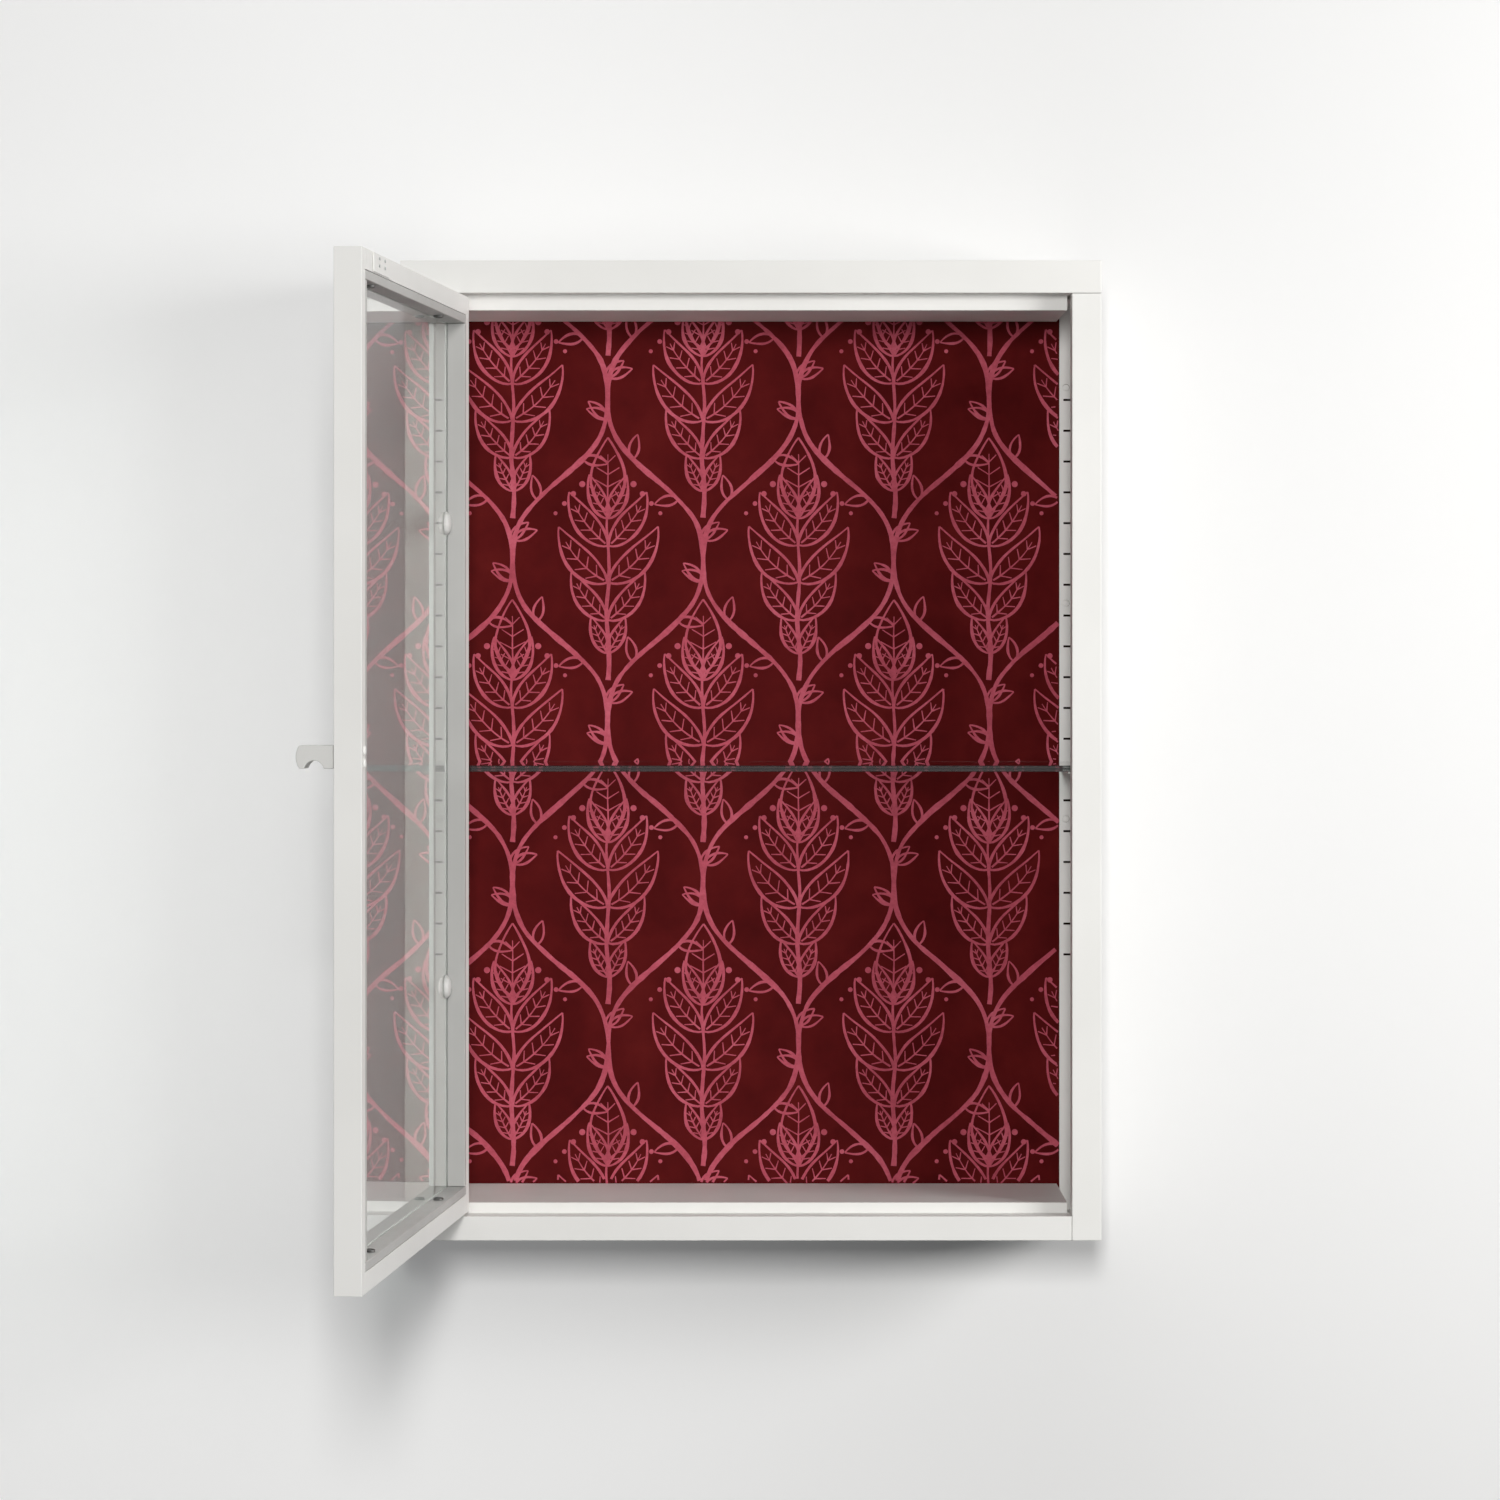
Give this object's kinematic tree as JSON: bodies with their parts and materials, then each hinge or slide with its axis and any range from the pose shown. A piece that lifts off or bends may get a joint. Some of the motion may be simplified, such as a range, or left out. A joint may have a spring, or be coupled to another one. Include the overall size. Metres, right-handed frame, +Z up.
{
  "type": "wall mounted showcase",
  "caption": "Shallow wall display cabinet of folded white steel with a glass shelf on slotted rear flanges, a patterned back board and a framed glass door turning on pivot pins.",
  "frame": {"origin": "middle of the back board's rear face, on the wall", "axes": "+X to the right seen from the front, +Y into the wall, +Z up"},
  "size_m": [0.6032, 0.6637, 0.79],
  "materials": {
    "white_steel": "satin off-white powder coat with fine orange peel",
    "clear_glass": "clear float glass with ground edges",
    "red_board": "matte dark red print on hardboard",
    "zinc_steel": "zinc plated",
    "dark_steel": "black oxide",
    "clear_rubber": "translucent silicone",
    "bush_plastic": "natural nylon",
    "magnet_ferrite": "sintered ferrite"
  },
  "bodies": {
    "cabinet": {"top_panel": "white_steel", "bottom_panel": "white_steel", "left_side_panel": "white_steel", "right_side_panel": "white_steel", "back_panel": "red_board", "glass_shelf": "clear_glass", "left_shelf_bracket": "white_steel", "right_shelf_bracket": "white_steel", "shelf_pad_left_front": "clear_rubber", "shelf_pad_left_rear": "clear_rubber", "shelf_pad_right_front": "clear_rubber", "shelf_pad_right_rear": "clear_rubber", "back_panel_screw_left_1": "white_steel", "back_panel_screw_left_2": "white_steel", "back_panel_screw_left_3": "white_steel", "back_panel_screw_right_1": "white_steel", "back_panel_screw_right_2": "white_steel", "back_panel_screw_right_3": "white_steel", "top_screw_left_front": "zinc_steel", "top_screw_left_rear": "zinc_steel", "top_screw_right_front": "zinc_steel", "top_screw_right_rear": "zinc_steel", "bottom_screw_left_front": "zinc_steel", "bottom_screw_left_rear": "zinc_steel", "bottom_screw_right_front": "zinc_steel", "bottom_screw_right_rear": "zinc_steel", "pivot_pin_top": "zinc_steel", "pivot_pin_bottom": "zinc_steel", "pivot_washer": "bush_plastic"},
    "door": {"door_hinge_stile": "white_steel", "door_leading_stile": "white_steel", "door_top_rail": "white_steel", "door_bottom_rail": "white_steel", "glazing_bead_hinge": "white_steel", "glazing_bead_leading": "white_steel", "glazing_bead_top": "white_steel", "glazing_bead_bottom": "white_steel", "bead_screw_top_hinge": "dark_steel", "bead_screw_top_leading": "dark_steel", "bead_screw_bottom_hinge": "dark_steel", "bead_screw_bottom_leading": "dark_steel", "door_glass": "clear_glass", "glass_button_upper": "clear_rubber", "glass_button_lower": "clear_rubber", "door_handle": "white_steel", "handle_screw_upper": "zinc_steel", "handle_screw_lower": "zinc_steel", "magnet_plate": "white_steel", "magnet_plate_screw_1": "zinc_steel", "magnet_plate_screw_2": "zinc_steel", "magnet_plate_screw_3": "zinc_steel", "magnet_plate_screw_4": "zinc_steel", "door_magnet": "magnet_ferrite", "pivot_bush_top": "bush_plastic", "pivot_bush_bottom": "bush_plastic"}
  },
  "joints": [
    {"name": "door_hinge", "type": "hinge", "parent": "cabinet", "child": "door", "pos_m": [-0.2446, -0.1635, -0.00335], "axis": [0, 0, -1], "range_deg": [-95.1, 35]}
  ]
}
